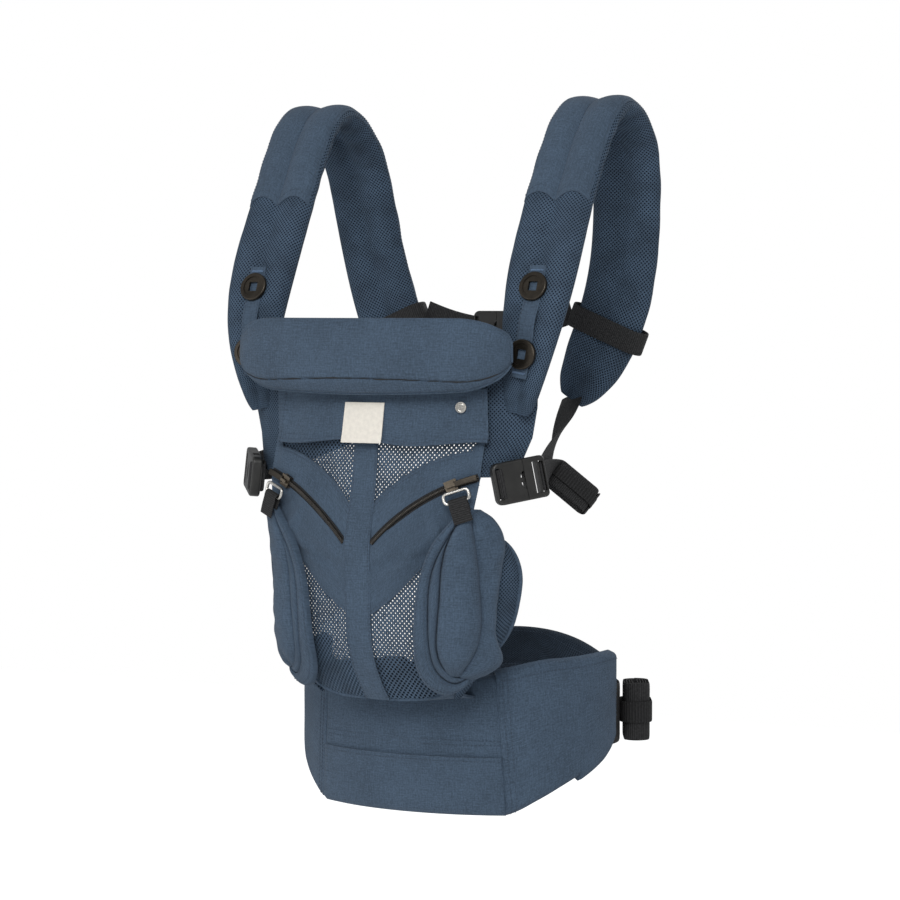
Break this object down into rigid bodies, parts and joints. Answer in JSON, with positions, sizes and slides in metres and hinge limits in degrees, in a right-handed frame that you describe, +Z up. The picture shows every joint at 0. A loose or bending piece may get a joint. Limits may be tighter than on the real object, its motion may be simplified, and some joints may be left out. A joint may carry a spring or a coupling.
{
  "type": "soft baby carrier",
  "caption": "Soft structured baby carrier with padded waistband, bucket seat, crossable shoulder straps, fold-down head support and side release buckles.",
  "frame": {"origin": "centre of the waist opening, level with the lower edge of the waistband's front", "axes": "+Z up, -Y out of the front panel away from the wearer, +X to the wearer's left"},
  "size_m": [0.339, 0.2921, 0.6033],
  "materials": {
    "navy_cotton": "plain woven cotton",
    "air_mesh": "three-dimensional spacer mesh",
    "open_mesh": "see-through net",
    "foam": "soft foam",
    "black_webbing": "ribbed woven webbing",
    "buckle_plastic": "fine matt moulding",
    "zip_tape": "coil zip on woven tape",
    "slider_metal": "dark plated",
    "label_cloth": "bare satin tape"
  },
  "bodies": {
    "carrier": {"body_centre_strip": "navy_cotton", "front_label": "label_cloth", "front_snap": "slider_metal", "lower_mesh_windows": "open_mesh", "lower_panels": "navy_cotton", "seat_base": "navy_cotton", "seat_bindings": "navy_cotton", "seat_wing_left": "navy_cotton", "seat_wing_right": "navy_cotton", "shoulder_gussets": "air_mesh", "shoulder_strap_left": "navy_cotton", "shoulder_strap_right": "navy_cotton", "side_buckle_female_left": "buckle_plastic", "side_buckle_female_right": "buckle_plastic", "side_mesh_panels": "air_mesh", "side_tabs": "black_webbing", "strap_eyelets": "buckle_plastic", "strap_foam_cores": "foam", "strap_strips": "navy_cotton", "strap_webbing_left": "black_webbing", "strap_webbing_right": "black_webbing", "upper_mesh_windows": "open_mesh", "v_bands": "navy_cotton", "waist_belt_webbing": "black_webbing", "waist_buckle_female": "buckle_plastic", "waist_buckle_tab": "black_webbing", "waist_foam_core": "foam", "waist_pocket_panel": "navy_cotton", "waist_webbing_roll": "black_webbing", "waistband_front": "navy_cotton", "waistband_wing_left": "navy_cotton", "waistband_wing_right": "navy_cotton", "wing_ring_tabs": "black_webbing", "yoke_flap": "navy_cotton", "yoke_panel": "navy_cotton", "zip_tapes": "zip_tape"},
    "head_support": {"head_support": "navy_cotton", "head_filling": "foam"},
    "zip_slider_right": {"zip_slider_right": "slider_metal"},
    "zip_slider_left": {"zip_slider_left": "slider_metal"},
    "loop_ring_right": {"loop_ring_right": "slider_metal"},
    "loop_ring_left": {"loop_ring_left": "slider_metal"},
    "side_buckle_right": {"side_buckle_male_right": "buckle_plastic", "side_buckle_arms_right": "buckle_plastic", "webbing_roll_right": "black_webbing"},
    "side_buckle_left": {"side_buckle_male_left": "buckle_plastic", "side_buckle_arms_left": "buckle_plastic", "webbing_roll_left": "black_webbing"},
    "waist_buckle": {"waist_buckle_male": "buckle_plastic", "waist_buckle_arms": "buckle_plastic"},
    "chest_strap": {"chest_buckle_female": "buckle_plastic", "chest_webbing_left": "black_webbing", "chest_webbing_right": "black_webbing"},
    "chest_buckle": {"chest_buckle_male": "buckle_plastic", "chest_buckle_arms": "buckle_plastic"},
    "chest_loop_right": {"chest_loop_right": "black_webbing"},
    "chest_loop_left": {"chest_loop_left": "black_webbing"},
    "lumbar": {"lumbar_pad": "navy_cotton", "lumbar_foam": "foam", "lumbar_sleeves": "black_webbing"}
  },
  "joints": [
    {"name": "head_support_flip", "type": "hinge", "parent": "carrier", "child": "head_support", "pos_m": [0, -0.178, 0.414], "axis": [-1, 0, 0], "range_deg": [0, 150]},
    {"name": "zip_slide_right", "type": "hinge", "parent": "carrier", "child": "zip_slider_right", "pos_m": [0.11714, -0.08754, 0.1296], "axis": [0.4457, -0.8441, -0.2979], "range_deg": [0, 25.9]},
    {"name": "loop_ring_swing_right", "type": "hinge", "parent": "carrier", "child": "loop_ring_right", "pos_m": [0.08938, -0.16748, 0.26903], "axis": [0.8781, 0.3676, 0.3063], "range_deg": [-8, 12]},
    {"name": "side_buckle_release_right", "type": "slide", "parent": "carrier", "child": "side_buckle_right", "axis": [0.6383, 0.751, 0.169], "range_m": [0, 0.032], "deforming": ["side_buckle_arms_right", "strap_webbing_right"]},
    {"name": "zip_slide_left", "type": "hinge", "parent": "carrier", "child": "zip_slider_left", "pos_m": [-0.11714, -0.08754, 0.1296], "axis": [0.4457, 0.8441, 0.2979], "range_deg": [0, 25.9]},
    {"name": "loop_ring_swing_left", "type": "hinge", "parent": "carrier", "child": "loop_ring_left", "pos_m": [-0.08938, -0.16748, 0.26903], "axis": [0.8781, -0.3676, -0.3063], "range_deg": [-8, 12]},
    {"name": "side_buckle_release_left", "type": "slide", "parent": "carrier", "child": "side_buckle_left", "axis": [-0.6383, 0.751, 0.169], "range_m": [0, 0.032], "deforming": ["side_buckle_arms_left", "strap_webbing_left"]},
    {"name": "waist_buckle_release", "type": "slide", "parent": "carrier", "child": "waist_buckle", "axis": [0.5656, 0.8247, 0], "range_m": [0, 0.04], "deforming": ["waist_buckle_arms", "waist_belt_webbing"]},
    {"name": "chest_strap_height", "type": "slide", "parent": "carrier", "child": "chest_strap", "axis": [0, 0, 1], "range_m": [-0.005, 0.014], "deforming": ["chest_webbing_left", "chest_webbing_right"]},
    {"name": "chest_loop_slide_right", "type": "slide", "parent": "carrier", "child": "chest_loop_right", "axis": [0.3794, -0.0077, 0.9252], "range_m": [-0.0056, 0.01533]},
    {"name": "chest_loop_slide_left", "type": "slide", "parent": "carrier", "child": "chest_loop_left", "axis": [-0.3794, -0.0077, 0.9252], "range_m": [-0.0056, 0.01533]},
    {"name": "chest_buckle_release", "type": "slide", "parent": "chest_strap", "child": "chest_buckle", "axis": [1, 0, 0], "range_m": [0, 0.022], "deforming": ["chest_buckle_arms"]},
    {"name": "lumbar_slide", "type": "hinge", "parent": "carrier", "child": "lumbar", "pos_m": [0, -0.09481, 0.079], "axis": [0, 0, 1], "range_deg": [-3, 3]}
  ],
  "couplings": [
    {"joint": "chest_loop_slide_right", "follows": "chest_strap_height", "ratio": 1.0809},
    {"joint": "chest_loop_slide_left", "follows": "chest_strap_height", "ratio": 1.0809}
  ]
}
